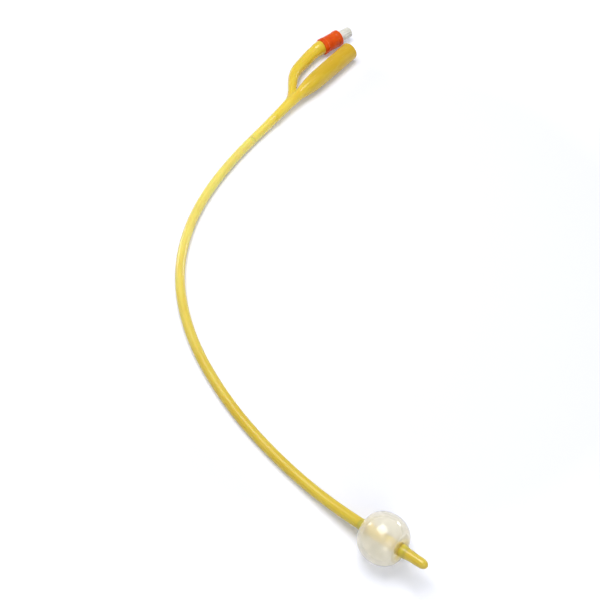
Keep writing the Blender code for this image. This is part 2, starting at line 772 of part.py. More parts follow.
def main():
    clear_scene()
    parts = new_collection("foley_catheter")
    cutters = new_collection("cutters")
    latex = make_material("yellow_latex", (0.80, 0.62, 0.13), 0.35)
    film = make_material("balloon_film", (0.86, 0.84, 0.78), 0.25, alpha=0.5)
    orange = make_material("orange_sleeve", (0.75, 0.11, 0.02), 0.4)
    white = make_material("white_plastic", (0.85, 0.85, 0.80), 0.35)
    clear = make_material("stem_plastic", (0.80, 0.82, 0.84), 0.3)
    rubber = make_material("seal_rubber", (0.03, 0.03, 0.03), 0.6)
    steel = make_material("spring_steel", (0.60, 0.60, 0.62), 0.3, metallic=1.0)

    line = Centreline()
    along_axis = (math.cos(VALVE_ANGLE), math.sin(VALVE_ANGLE), 0.0)
    face = Vector((SLEEVE_FACE[0], SLEEVE_FACE[1], SLEEVE_DIAMETER / 2))
    valve = Matrix.Translation(face) @ aim(along_axis)

    pieces = [
        latex_body(line, valve, parts, cutters, latex),
        balloon(line, parts, film),
        size_sleeve(valve, parts, orange),
        valve_housing(valve, parts, cutters, white),
        valve_stem(valve, parts, clear),
        stem_seal(valve, parts, rubber),
        valve_spring(valve, parts, steel),
        spring_retainer(valve, parts, white),
    ]

    root = bpy.data.objects.new("footprint", None)
    parts.objects.link(root)
    stand_on_footprint(pieces, root)
    for item in pieces + list(cutters.objects):
        item.parent = root
    bpy.context.view_layer.update()


main()
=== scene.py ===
import math

import bpy
import numpy as np
from mathutils import Matrix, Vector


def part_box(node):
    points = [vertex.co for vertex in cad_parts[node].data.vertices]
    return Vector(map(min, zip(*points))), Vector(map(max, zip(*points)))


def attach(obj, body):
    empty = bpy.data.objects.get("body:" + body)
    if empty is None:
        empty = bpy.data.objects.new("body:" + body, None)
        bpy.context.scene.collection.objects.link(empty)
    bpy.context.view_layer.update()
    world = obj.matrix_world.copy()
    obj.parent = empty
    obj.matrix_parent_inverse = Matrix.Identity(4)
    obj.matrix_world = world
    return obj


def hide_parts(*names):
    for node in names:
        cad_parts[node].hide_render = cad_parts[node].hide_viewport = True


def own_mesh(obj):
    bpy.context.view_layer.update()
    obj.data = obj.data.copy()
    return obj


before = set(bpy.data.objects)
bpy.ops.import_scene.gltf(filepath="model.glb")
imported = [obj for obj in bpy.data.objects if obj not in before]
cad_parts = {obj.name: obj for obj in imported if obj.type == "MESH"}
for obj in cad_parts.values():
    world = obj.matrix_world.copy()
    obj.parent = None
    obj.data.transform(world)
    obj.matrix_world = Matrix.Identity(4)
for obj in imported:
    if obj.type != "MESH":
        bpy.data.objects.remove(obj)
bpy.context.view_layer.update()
print("foley catheter: frame loaded")

# the catheter's lines
# All in metres. The route starts at the middle of the funnel's mouth and runs to the cuff
# behind the balloon, as the solids do, and the shaft runs straight from there.
tube = {
    "length": 0.4155,
    "shaft": 0.00533,
    "funnelLength": 0.050,
    "mouth": 0.0114,
    "mouthBore": 0.0084,
    "shoulder": 0.0108,
    "shoulderBore": 0.0072,
    "shoulderLength": 0.019,
    "fork": 0.0062,
    "flare": 0.045,
    "lumen": 0.00293,
    "tip": 0.0047,
    "tipDome": 0.0033,
    "tipReach": 0.0243,
    "tipRise": math.radians(14.0),
    "lumenEndWall": 0.0040,
}
ball = {
    "diameter": 0.0241,
    "length": 0.0254,
    "neckSpan": 0.0186,
    "wall": 0.00025,
    "dimple": 0.0058,
    "cuff": 0.0040,
    "cuffRadius": 0.003035,
    "overCuff": 0.0008,  # film that runs on over each cuff
    "tinted": 0.0024,  # the latex's yellow shows this far into the film
    "cuffStart": 0.0002,
    "cuffStep": 0.0003,
    "cuffFall": 0.0016,
    "clear": 0.00003,  # between two skins
    "cuffTone": 0.012,  # the cuff behind has the latex's shade from here, before the middle
}
route = [
    (0.0, 0.0), (-0.025, 0.0002), (-0.050, 0.0004), (-0.075, 0.0005), (-0.098, 0.0),
    (-0.118, -0.0019), (-0.138, -0.0055), (-0.157, -0.0112), (-0.175, -0.0196),
    (-0.191, -0.0305), (-0.2045, -0.0437), (-0.2155, -0.0582), (-0.2244, -0.0735),
    (-0.2314, -0.0893), (-0.2370, -0.1052), (-0.2415, -0.1220), (-0.2449, -0.1400),
    (-0.2473, -0.1580), (-0.2488, -0.1770), (-0.2495, -0.1954),
]
armRoute = [
    (-0.0640, 0.0008), (-0.0566, 0.0027), (-0.0511, 0.0055), (-0.0466, 0.0087),
    (-0.0424, 0.0117), (-0.0382, 0.0141), (-0.0330, 0.0159), (-0.0270, 0.0168),
]
arm = {
    "root": 0.0043,
    "end": 0.0079,
    "widening": 0.85,
    "sag": 0.0012,
    "straight": 0.0008,
    "socket": 0.0058,
    "lumen": 0.0022,
    "lumenDepth": 0.008,
    "endDepth": 0.0043,  # below the sleeve's outer face, along the valve's axis
    "innerDepth": 0.0143,
    "blend": 0.0016,  # how far the crotch is filled
    "rim": 0.0003,
    "swell": 0.0006,  # just before the sleeve
    "swellLength": 0.007,
    "swellCorner": 0.0008,
    "insideFunnel": [(-0.0740, -0.0003, 0.0018), (-0.0690, 0.0001, 0.0020)],  # two places, radius
}
valve = {
    "angle": math.radians(-11.9),
    "face": (0.0057, 0.0133, 0.00525),
    "sleeveLength": 0.0143,
}


def unit(vector):
    return vector / np.linalg.norm(vector, axis=-1, keepdims=True)


valveAxis = np.array([math.cos(valve["angle"]), math.sin(valve["angle"]), 0.0])
sleeveLow, sleeveHigh = (np.array(corner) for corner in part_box("size_sleeve"))
faceInRow = (sleeveLow + sleeveHigh) / 2 + valveAxis * valve["sleeveLength"] / 2
mouthInRow = faceInRow - np.array(valve["face"])  # row place of the route's start, on the table

# camera, at the photograph's angle
cameraView = {
    "place": (-0.41450, -0.29280, 0.45628),  # from the middle of the funnel's mouth
    "looksAt": (-0.16550, -0.09273, 0.0),
    "lens": 63.018,  # on a 36 mm sensor
}


def addPiece(name, data):
    piece = bpy.data.objects.new(name, data)
    bpy.context.scene.collection.objects.link(piece)
    return piece


def aimed(piece, place, direction):
    # puts it at the place, level, looking along the direction: columns are right, up, backwards
    back = -unit(np.array(direction, float))
    right = unit(np.cross((0.0, 0.0, 1.0), back)) if abs(back[2]) < 0.999 else np.array((1.0, 0.0, 0.0))
    turn = np.eye(4)
    turn[:3, 0] = right
    turn[:3, 1] = np.cross(back, right)
    turn[:3, 2] = back
    turn[:3, 3] = place
    piece.matrix_world = Matrix(turn.tolist())


def placeCamera():
    data = bpy.data.cameras.new("camera")
    data.lens = cameraView["lens"]
    data.sensor_width = 36.0
    data.clip_start = 0.01
    data.clip_end = 50.0
    camera = addPiece("camera", data)
    place = np.array(cameraView["place"])
    aimed(camera, mouthInRow + place, np.array(cameraView["looksAt"]) - place)
    bpy.context.scene.camera = camera


placeCamera()
print("foley catheter: camera placed")


def lengthsAlong(points):
    steps = np.linalg.norm(np.diff(points, axis=0), axis=1)
    return np.concatenate([[0.0], np.cumsum(steps)])


def linePoints(line, at, where):
    return np.stack([np.interp(where, at, line[:, k]) for k in range(3)], axis=-1)


def ease(share):
    share = np.clip(share, 0.0, 1.0)
    return share * share * (3 - 2 * share)


def cubicThrough(knots, count):
    # natural cubic: between two knots a chord h apart, at x from the first, the curve is
    # (b1 (h-x)^3 + b2 x^3) / 6h + (k1/h - b1 h/6)(h-x) + (k2/h - b2 h/6) x
    knots = np.array(knots, float)
    chord = np.linalg.norm(np.diff(knots, axis=0), axis=1)
    at = np.concatenate([[0.0], np.cumsum(chord)])
    size = len(knots)
    system = np.eye(size)
    right = np.zeros_like(knots)
    inner = np.arange(1, size - 1)
    system[inner, inner - 1] = chord[:-1]
    system[inner, inner] = 2 * (chord[:-1] + chord[1:])
    system[inner, inner + 1] = chord[1:]
    slope = np.diff(knots, axis=0) / chord[:, None]
    right[1:-1] = 6 * np.diff(slope, axis=0)
    bend = np.linalg.solve(system, right)
    where = np.linspace(0.0, at[-1], 40 * size)
    i = np.clip(np.searchsorted(at, where) - 1, 0, size - 2)
    h = chord[i][:, None]
    left = (at[i + 1] - where)[:, None]
    gone = (where - at[i])[:, None]
    fine = (bend[i] * left**3 + bend[i + 1] * gone**3) / (6 * h)
    fine += (knots[i] / h - bend[i] * h / 6) * left
    fine += (knots[i + 1] / h - bend[i + 1] * h / 6) * gone
    length = lengthsAlong(fine)
    places = np.linspace(0.0, length[-1], count)
    return np.stack([np.interp(places, length, fine[:, k]) for k in range(knots.shape[1])], axis=1)


def layTube():
    # plan from the route; height = shaft + (mouth - shaft) eased over the flare + lift up^3
    behind = ball["neckSpan"] / 2 + ball["cuff"]
    plan = cubicThrough(route, 1500)
    plan *= (tube["length"] - behind - tube["tipReach"]) / lengthsAlong(plan)[-1]
    at = lengthsAlong(plan)
    heading = unit(plan[-1] - plan[-12])
    shaft = tube["shaft"] / 2
    lift = ball["diameter"] / 2 - behind * math.sin(tube["tipRise"]) - shaft
    run = 3 * lift / math.tan(tube["tipRise"])
    drop = ease((tube["funnelLength"] + tube["flare"] - at) / tube["flare"])
    up = np.clip(1 - (at[-1] - at) / run, 0.0, 1.0)
    height = shaft + (tube["mouth"] / 2 - shaft) * drop + lift * up**3
    bent = np.column_stack([plan, height]) + mouthInRow
    rise = math.sin(tube["tipRise"])
    level = math.cos(tube["tipRise"])
    ahead = np.array([level * heading[0], level * heading[1], rise])
    length = lengthsAlong(bent)
    reach = behind + tube["tipReach"]
    straight = bent[-1] + ahead * np.linspace(0.0, reach, 60)[1:, None]
    line = np.vstack([bent, straight])
    return line, lengthsAlong(line), ahead, length[-1] + behind


mainLine, mainAt, tipAhead, balloonAt = layTube()
cuffEnd = balloonAt + ball["neckSpan"] / 2 + ball["cuff"]
tubeLength = balloonAt + tube["tipReach"]
balloonMiddle = linePoints(mainLine, mainAt, balloonAt)


def lineFrames(line, at, where):
    # place, level side and upper side of the line at each distance along it
    step = 0.0006
    before = linePoints(line, at, where - step)
    after = linePoints(line, at, where + step)
    tangent = unit(after - before)
    side = unit(np.cross(tangent, (0.0, 0.0, 1.0)))
    return linePoints(line, at, where), side, np.cross(side, tangent)


def funnelRadius(along, mouth, shoulder, fork):
    # even taper to the shoulder, then a quarter sine wave down to the fork
    cone = tube["funnelLength"] - tube["shoulderLength"]
    share = np.clip(along / cone, 0.0, 1.0)
    fall = np.clip((tube["funnelLength"] - along) / tube["shoulderLength"], 0.0, 1.0)
    curve = fork + (shoulder - fork) * np.sin(math.pi / 2 * fall)
    return np.where(along < cone, mouth + (shoulder - mouth) * share, curve)


def outerRadius(along):
    # funnel, then the flare's parabola, the even shaft, the tip's taper and its dome
    shaft = tube["shaft"] / 2
    fork = tube["fork"] / 2
    funnel = funnelRadius(along, tube["mouth"] / 2, tube["shoulder"] / 2, fork)
    left = np.clip(1 - (along - tube["funnelLength"]) / tube["flare"], 0.0, 1.0)
    radius = np.where(along < tube["funnelLength"], funnel, shaft + (fork - shaft) * left**2)
    domeStart = tubeLength - tube["tipDome"]
    share = np.clip((along - cuffEnd) / (domeStart - cuffEnd), 0.0, 1.0)
    radius = radius + (tube["tip"] / 2 - shaft) * share
    into = np.clip((along - domeStart) / tube["tipDome"], 0.0, 1.0)
    return radius * np.sqrt(1 - into**2)


def layArm():
    # height = root + (top - root) share - sag share^3, then the valve's own axis; the
    # radius eases from root to end and swells where the rubber is pressed against the sleeve
    face = np.array(valve["face"])
    root = np.interp(-armRoute[0][0], mainAt, mainLine[:, 2]) - mouthInRow[2]
    share = np.linspace(0.0, 1.0, len(armRoute))
    height = root + (face[2] - root) * share - arm["sag"] * share**3
    bend = np.column_stack([armRoute, height])
    straightFrom = face - valveAxis * (arm["innerDepth"] + arm["straight"])
    bend = np.vstack([bend, straightFrom, face - valveAxis * arm["innerDepth"]])
    curve = cubicThrough(bend, 160)
    share = np.linspace(0.0, 1.0, len(curve)) / arm["widening"]
    radii = (arm["root"] + (arm["end"] - arm["root"]) * ease(share)) / 2
    inside = np.array(arm["insideFunnel"])
    deeper = np.column_stack([inside[:, :2], np.full(len(inside), root)])
    straight = face - valveAxis * np.linspace(arm["innerDepth"], arm["endDepth"], 24)[1:, None]
    line = np.vstack([deeper, curve, straight]) + mouthInRow
    radius = np.concatenate([inside[:, 2], radii, np.full(len(straight), arm["end"] / 2)])
    at = lengthsAlong(line)
    before = at[-1] - (arm["innerDepth"] - arm["endDepth"]) - at
    corner = np.sqrt(1 - (1 - np.clip(before / arm["swellCorner"], 0.0, 1.0)) ** 2)
    radius = radius + arm["swell"] * ease(1 - before / arm["swellLength"]) * corner
    return line, at, radius


armLine, armAt, armRadius = layArm()
print("foley catheter: lines laid,", round(tubeLength * 1000), "mm of tube")

# making surfaces


def surface(name, rings, startPole=None, endPole=None, loop=False):
    # rings is a grid, rows by columns by 3; columns always close, rows close when loop is set,
    # and a pole closes a row of the grid with a fan
    rows, columns = rings.shape[:2]
    points = rings.reshape(-1, 3)
    grid = np.arange(rows * columns).reshape(rows, columns)
    if loop:
        grid = np.vstack([grid, grid[:1]])
    nextOne = np.roll(grid, -1, axis=1)
    quads = np.stack([grid[:-1], nextOne[:-1], nextOne[1:], grid[1:]], axis=-1).reshape(-1, 4)
    fans = []
    for pole, left, right in ((startPole, nextOne[0], grid[0]), (endPole, grid[-1], nextOne[-1])):
        if pole is not None:
            points = np.vstack([points, pole])
            fans.append(np.stack([left, right, np.full(columns, len(points) - 1)], axis=-1))
    corners = np.concatenate([quads.ravel()] + [fan.ravel() for fan in fans])
    sizes = np.concatenate([np.full(len(quads), 4)] + [np.full(len(fan), 3) for fan in fans])
    starts = np.concatenate([[0], np.cumsum(sizes)[:-1]])
    # the signed volume says whether the faces look outwards
    first = points[quads[:, 0]]
    volume = np.sum(first * np.cross(points[quads[:, 1]], points[quads[:, 2]]))
    volume += np.sum(first * np.cross(points[quads[:, 2]], points[quads[:, 3]]))
    mesh = bpy.data.meshes.new(name)
    mesh.vertices.add(len(points))
    mesh.vertices.foreach_set("co", points.astype(np.float32).ravel())
    mesh.loops.add(len(corners))
    mesh.loops.foreach_set("vertex_index", corners.astype(np.int32))
    mesh.polygons.add(len(sizes))
    mesh.polygons.foreach_set("loop_start", starts.astype(np.int32))
    mesh.update(calc_edges=True)
    mesh.validate()
    if volume < 0:
        mesh.flip_normals()
    mesh.shade_smooth()
    return addPiece(name, mesh)


def setAttribute(mesh, key, values):
    # a value for each point, where the poles at the end take the last one
    layer = mesh.attributes.new(key, "FLOAT", "POINT")
    full = np.zeros(len(mesh.vertices), np.float32)
    full[: len(values)] = values
    full[len(values):] = values[-1]
    layer.data.foreach_set("value", full)


def markPlace(mesh):
    # each point's place in the tube: distance along it, shortened, then the two ways across
    station = np.zeros(len(mesh.vertices), np.float32)
    mesh.attributes["along"].data.foreach_get("value", station)
    station = station.astype(float) * tubeLength
    centre, *ways = lineFrames(mainLine, mainAt, station)
    out = meshPoints(mesh) - centre
    across = [np.sum(out * way, axis=1) for way in ways]
    layer = mesh.attributes.new("inTube", "FLOAT_VECTOR", "POINT")
    place = np.column_stack([station * latexLook["lengthwise"], *across])
    layer.data.foreach_set("vector", place.astype(np.float32).ravel())


def meshPoints(mesh):
    points = np.zeros(len(mesh.vertices) * 3, np.float32)
    mesh.vertices.foreach_get("co", points)
    return points.reshape(-1, 3).astype(float)


def carry(centre, side, over, radii, sides):
    # point(s, a) = centre(s) + radius(s) (cos a side(s) + sin a over(s))
    angle = np.linspace(0.0, 2 * math.pi, sides, endpoint=False)[None, :, None]
    ring = np.cos(angle) * side[:, None, :] + np.sin(angle) * over[:, None, :]
    return centre[:, None, :] + ring * np.asarray(radii)[:, None, None]


def tubeBetween(name, stations, radii, sides):
    # carried along the main line, closed with a fan at each end
    centre, side, over = lineFrames(mainLine, mainAt, stations)
    return surface(name, carry(centre, side, over, radii, sides), centre[0], centre[-1])


def turnedAbout(middle, axis, profile, sides, ribs=None):
    # point(i, a) = middle + height(i) axis + radius(i, a) (cos a across + sin a over)
    profile = np.asarray(profile, float)
    across = unit(np.cross((0.0, 0.0, 1.0), axis))
    over = np.cross(axis, across)
    angle = np.linspace(0.0, 2 * math.pi, sides, endpoint=False)
    radius = np.repeat(profile[:, :1], sides, axis=1)
    if ribs is not None:
        radius = radius - ribs(angle, profile)
    ring = np.cos(angle)[:, None] * across + np.sin(angle)[:, None] * over
    return middle + profile[:, 1][:, None, None] * axis + radius[:, :, None] * ring[None]


def rounded(corners, steps=5):
    # each corner (radius, height, fillet) of a closed outline becomes an arc of its fillet
    outline = []
    count = len(corners)
    for i in range(count):
        here = np.array(corners[i][:2])
        before = np.array(corners[i - 1][:2])
        after = np.array(corners[(i + 1) % count][:2])
        fillet = corners[i][2]
        back = unit(before - here)
        ahead = unit(after - here)
        opening = math.acos(np.clip(back @ ahead, -1.0, 1.0))
        if fillet <= 0 or opening > math.radians(178):
            outline.append(here)
            continue
        room = 0.48 * min(np.linalg.norm(before - here), np.linalg.norm(after - here))
        reach = min(fillet / math.tan(opening / 2), room)
        share = np.linspace(0.0, 1.0, steps)[:, None]
        bend = (1 - share) ** 2 * (here + back * reach) + 2 * share * (1 - share) * here
        outline.extend(bend + share**2 * (here + ahead * reach))
    return np.array(outline)


def applied(piece, modifiers):
    # the piece's mesh with these modifiers' result in it
    for kind, values in modifiers:
        modifier = piece.modifiers.new(kind.lower(), kind)
        for key, value in values.items():
            setattr(modifier, key, value)
    bpy.context.view_layer.update()
    shape = piece.evaluated_get(bpy.context.evaluated_depsgraph_get())
    mesh = bpy.data.meshes.new_from_object(shape)
    piece.modifiers.clear()
    old = piece.data
    piece.data = mesh
    bpy.data.meshes.remove(old)
    mesh.shade_smooth()
    return piece


def joined(name, parts):
    # several meshes as one, so that a remesh can close them into one skin
    points = []
    faces = []
    count = 0
    for part in parts:
        mesh = part.data
        points.append(meshPoints(mesh))
        faces += [tuple(count + i for i in polygon.vertices) for polygon in mesh.polygons]
        count += len(mesh.vertices)
    mesh = bpy.data.meshes.new(name)
    mesh.from_pydata(np.vstack(points).tolist(), [], faces)
    for part in parts:
        bpy.data.objects.remove(part)
    return addPiece(name, mesh)


# shaft, a limp tube
shaftPiece = {"sides": 48, "ringStep": 0.0011, "start": 0.095, "endInCuff": 0.0006}


def makeShaft():
    # an even circle carried along the main line, closed at both ends
    start = shaftPiece["start"]
    end = cuffEnd - shaftPiece["endInCuff"]
    count = round((end - start) / shaftPiece["ringStep"])
    stations = np.linspace(start, end, count)
    sides = shaftPiece["sides"]
    piece = tubeBetween("latexShaft", stations, np.full(count, tube["shaft"] / 2), sides)
    setAttribute(piece.data, "along", np.repeat(stations / tubeLength, sides))
    return piece, linePoints(mainLine, mainAt, stations), end - start


latexShaft, shaftPath, shaftLength = makeShaft()
print("foley catheter: shaft made")

# funnel and side arm
forkPiece = {
    "voxel": 0.00028,
    "sides": 72,
    "tuck": 0.00004,  # its tail lies this far inside the shaft's skin
    "movedTail": 0.0025,  # the skin is moved this far past the shaft's start
    "keptRim": 0.0010,
    "keptEnd": (0.0005, 0.0004),  # round the arm's cut end: from the end, and outwards
    "reach": 0.00055,  # a point farther off than this is an inner one
    "boreFloor": 0.044,
    "rim": 0.0007,
    "boreRim": 0.0004,
}


def funnelShell():
    # bore up to the rim, round it, and down the outside to the even shaft, carried on the main line
    quarter = np.linspace(0.0, math.pi / 2, 8)
    inRim = forkPiece["boreRim"]
    outRim = forkPiece["rim"]
    deep = np.linspace(forkPiece["boreFloor"], inRim, 70)[:-1]
    bore = funnelRadius(deep, tube["mouthBore"] / 2, tube["shoulderBore"] / 2, tube["lumen"] / 2)
    boreMouth = tube["mouthBore"] / 2
    mouth = tube["mouth"] / 2
    start = shaftPiece["start"]
    outside = np.linspace(outRim, start, 150)[1:]
    tucked = start + np.array([0.0004, 0.0010, 0.0030])
    stations = np.concatenate([
        deep, inRim - inRim * np.sin(quarter), outRim - outRim * np.cos(quarter), outside, tucked,
    ])
    radii = np.concatenate([
        bore,
        boreMouth + inRim - inRim * np.cos(quarter),
        mouth - outRim + outRim * np.sin(quarter),
        outerRadius(outside),
        outerRadius(tucked) - forkPiece["tuck"],
    ])
    stations = np.maximum(stations, 0.0)
    lineStart = 0.0008  # rings before this one lie straight ahead of it
    ahead = np.array([1.0, 0.0, 0.0])
    centre, side, over = lineFrames(mainLine, mainAt, np.maximum(stations, lineStart))
    centre = centre + ahead * np.maximum(lineStart - stations, 0.0)[:, None]
    rings = carry(centre, side, over, radii, forkPiece["sides"])
    return surface("funnelShell", rings, centre[0], centre[-1])


def armShell():
    # inflation lumen, socket for the valve, round the cut end, down the outside to the root
    length = armAt[-1]
    ledge = 0.0001
    depth = arm["innerDepth"] - arm["endDepth"] + ledge
    quarter = np.linspace(0.0, math.pi / 2, 5)
    rim = arm["rim"]
    below = length - depth - np.linspace(arm["lumenDepth"], ledge, 18)
    inside = np.linspace(length - depth, length, 30)
    outside = np.linspace(length - rim, 0.0, 190)[1:]
    stations = np.concatenate([below, inside, length - rim + rim * np.cos(quarter), outside])
    radii = np.concatenate([
        np.full(len(below), arm["lumen"] / 2),
        np.full(len(inside), arm["socket"] / 2),
        arm["end"] / 2 - rim + rim * np.sin(quarter),
        np.interp(outside, armAt, armRadius),
    ])
    centre = linePoints(armLine, armAt, stations)
    lineStart = 0.0007
    frames = lineFrames(armLine, armAt, np.clip(stations, lineStart, length - lineStart))
    rings = carry(centre, frames[1], frames[2], radii, forkPiece["sides"])
    return surface("armShell", rings, centre[0], centre[-1])


def distanceTo(points, line, radii):
    # distance to a line of changing radius, and the direction away from it
    best = np.full(len(points), 1.0)
    away = np.zeros_like(points)
    for i in range(len(line) - 1):
        step = line[i + 1] - line[i]
        share = np.clip((points - line[i]) @ step / (step @ step), 0.0, 1.0)
        out = points - (line[i] + share[:, None] * step)
        length = np.linalg.norm(out, axis=1)
        gap = length - (radii[i] + (radii[i + 1] - radii[i]) * share)
        nearer = gap < best
        best[nearer] = gap[nearer]
        away[nearer] = out[nearer] / np.maximum(length[nearer], 1e-9)[:, None]
    return best, away


def makeFork():
    # both shells closed into one skin, then each outer point moved onto the smooth union
    # min(a, b) - k h (1 - h), with h = 1/2 + (b - a) / 2k, of the two tubes
    piece = joined("latexFork", [funnelShell(), armShell()])
    source = piece.data.copy()
    applied(piece, [("REMESH", {"mode": "VOXEL", "voxel_size": forkPiece["voxel"], "adaptivity": 0.0})])
    points = meshPoints(piece.data)
    stations = np.linspace(0.0, shaftPiece["start"] + 0.004, 110)
    line = linePoints(mainLine, mainAt, stations)
    radii = outerRadius(stations)
    radii = np.where(stations > shaftPiece["start"] + 0.0002, radii - forkPiece["tuck"], radii)
    last = len(armLine)
    kept = np.unique(np.concatenate([np.arange(0, last, 3), np.arange(last - 50, last)]))
    shortArm = armLine[kept]
    shortRadii = armRadius[kept]
    blend = arm["blend"]
    fromEnd = (armLine[-1] - points) @ valveAxis
    fromMouth = mouthInRow[0] - points[:, 0]
    beyond = (points - linePoints(mainLine, mainAt, shaftPiece["start"] + forkPiece["movedTail"]))[:, 0]
    movable = (fromMouth > forkPiece["keptRim"]) & (beyond > 0.0)
    fromCut, outwards = forkPiece["keptEnd"]
    for _ in range(3):
        toMain, outMain = distanceTo(points, line, radii)
        toArm, outArm = distanceTo(points, shortArm, shortRadii)
        share = np.clip(0.5 + 0.5 * (toArm - toMain) / blend, 0.0, 1.0)
        gap = toArm + (toMain - toArm) * share - blend * share * (1 - share)
        out = unit(outArm + (outMain - outArm) * share[:, None])
        nearEnd = (fromEnd < fromCut) & (toArm < outwards)
        moves = movable & (np.abs(gap) < forkPiece["reach"]) & ~nearEnd
        points[moves] -= out[moves] * gap[moves][:, None]
    piece.data.vertices.foreach_set("co", points.astype(np.float32).ravel())
    fixed = piece.vertex_groups.new(name="inner")
    fixed.add(np.flatnonzero(~moves).tolist(), 1.0, "REPLACE")
    target = addPiece("forkSource", source)
    wrap = {"target": target, "wrap_method": "NEAREST_SURFACEPOINT", "vertex_group": "inner"}
    applied(piece, [("SHRINKWRAP", wrap)])
    bpy.data.objects.remove(target)
    bpy.data.meshes.remove(source)
    piece.vertex_groups.clear()
    setAttribute(piece.data, "along", np.clip(fromMouth / tubeLength, 0.0, 1.0))
    setAttribute(piece.data, "onArm", ease(1 - share))
    return piece


latexFork = makeFork()
print("foley catheter: funnel and arm made,", len(latexFork.data.polygons), "faces")

# tip with its eyes
tipPiece = {
    "voxel": 0.00015,
    "sides": 64,
    "tuck": 0.00004,
    "eyeWidth": 0.0021,
    "eyeLength": 0.0042,
    "eyeTurn": math.radians(30.0),
    "eyeFromCuff": 0.0028,
    "eyeStagger": 0.0012,
    "eyeReach": 0.0045,
    "startInCuff": 0.0030,
    "backWall": 0.0008,
}


def eyeShell(name, along, angle):
    # an ellipse carried straight out from the tube's middle
    centre, side, over = lineFrames(mainLine, mainAt, along)
    out = side * math.cos(angle) + over * math.sin(angle)
    across = np.cross(out, tipAhead)
    turn = np.linspace(0.0, 2 * math.pi, 40, endpoint=False)[None, :, None]
    oval = tipAhead * np.cos(turn) * tipPiece["eyeLength"] / 2
    oval = oval + across * np.sin(turn) * tipPiece["eyeWidth"] / 2
    reach = np.linspace(0.0, tipPiece["eyeReach"], 12)[:, None, None]
    rings = centre + out * reach + oval
    return surface(name, rings, centre, centre + out * tipPiece["eyeReach"])


def makeTip():
    # taper and dome, hollow behind the end, with two ovals cut in and every edge softened
    start = cuffEnd - tipPiece["startInCuff"]
    seam = cuffEnd - shaftPiece["endInCuff"]
    taper = np.linspace(start, tubeLength - tube["tipDome"], 60)
    quarter = np.linspace(0.0, math.pi / 2, 16)[1:-1]
    dome = tubeLength - tube["tipDome"] + tube["tipDome"] * np.sin(quarter)
    stations = np.concatenate([taper, dome])
    radii = outerRadius(stations) - np.where(stations < seam + 0.0001, tipPiece["tuck"], 0.0)
    centre, side, over = lineFrames(mainLine, mainAt, stations)
    rings = carry(centre, side, over, radii, tipPiece["sides"])
    piece = surface("latexTip", rings, centre[0], linePoints(mainLine, mainAt, tubeLength))
    lumenEnd = tubeLength - tube["lumenEndWall"]
    inside = np.linspace(start + tipPiece["backWall"], lumenEnd, 30)
    lumen = np.full(len(inside), tube["lumen"] / 2)
    lumen[-3:] *= (0.97, 0.85, 0.55)
    eyeAt = cuffEnd + tipPiece["eyeFromCuff"]
    cutters = [
        tubeBetween("lumenShell", inside, lumen, 40),
        eyeShell("eyeNear", eyeAt, -tipPiece["eyeTurn"]),
        eyeShell("eyeFar", eyeAt + tipPiece["eyeStagger"], math.pi - tipPiece["eyeTurn"]),
    ]
    cut = {"operation": "DIFFERENCE", "solver": "EXACT"}
    steps = [("BOOLEAN", {**cut, "object": cutter}) for cutter in cutters]
    steps.append(("REMESH", {"mode": "VOXEL", "voxel_size": tipPiece["voxel"], "adaptivity": 0.0}))
    steps.append(("SMOOTH", {"factor": 0.5, "iterations": 5}))
    applied(piece, steps)
    for cutter in cutters:
        bpy.data.objects.remove(cutter)
    points = meshPoints(piece.data)
    distance = (points - linePoints(mainLine, mainAt, cuffEnd)) @ tipAhead
    setAttribute(piece.data, "along", np.clip((cuffEnd + distance) / tubeLength, 0.0, 1.0))
    return piece


latexTip = makeTip()
print("foley catheter: tip made,", len(latexTip.data.polygons), "faces")

# balloon film and its cuffs


def filmProfile():
    # ball: radius = R sin f, height = L cos f (1 - d exp(-(radius / dimple)^2)), drawn in at the necks
    cuff = ball["cuffRadius"]
    radius = ball["diameter"] / 2
    half = ball["length"] / 2
    neck = ball["neckSpan"] / 2
    first = math.asin(cuff / radius)
    depth = (1 - neck / (half * math.cos(first))) / math.exp(-((cuff / ball["dimple"]) ** 2))
    turn = np.linspace(first, math.pi - first, 110)
    across = radius * np.sin(turn)
    height = half * np.cos(turn) * (1 - depth * np.exp(-((across / ball["dimple"]) ** 2)))
    over = np.linspace(neck + ball["overCuff"], neck, 5)[:-1]
    edge = np.column_stack([np.full(len(over), cuff), over])
    body = np.column_stack([across, height])
    return np.vstack([edge, body, edge[::-1] * (1, -1)])


def makeFilm():
    rings = turnedAbout(balloonMiddle, tipAhead, filmProfile(), 128)
    piece = surface("balloonSkin", rings)
    offset = meshPoints(piece.data) - balloonMiddle
    fromAxis = np.linalg.norm(offset - (offset @ tipAhead)[:, None] * tipAhead, axis=1)
    setAttribute(piece.data, "neck", np.exp(-(((fromAxis - ball["cuffRadius"]) / ball["tinted"]) ** 2)))
    wall = piece.modifiers.new("wall", "SOLIDIFY")
    wall.thickness = ball["wall"]
    wall.offset = -1.0
    return piece


def makeCuff(name, sign):
    # band of latex: low under the film, full beyond it, eased down to the shaft at its end
    neck = ball["neckSpan"] / 2
    end = neck + ball["cuff"]
    start = neck + ball["cuffStart"]
    step = ball["cuffStep"]
    inner = tube["shaft"] / 2 + 0.00002
    low = inner + ball["clear"]
    full = ball["cuffRadius"] - ball["clear"]
    seat = full - ball["wall"]
    height = np.linspace(start, end, 46)
    rise = ease((height - neck - ball["overCuff"] + step) / step)
    fall = ease((end - height) / ball["cuffFall"])
    outer = low + (seat + (full - seat) * rise - low) * fall
    outline = np.vstack([
        np.column_stack([outer, height]),
        np.column_stack([np.full(6, inner), np.linspace(end, start, 6)]),
    ])
    return surface(name, turnedAbout(balloonMiddle, tipAhead * sign, outline, 72), loop=True)


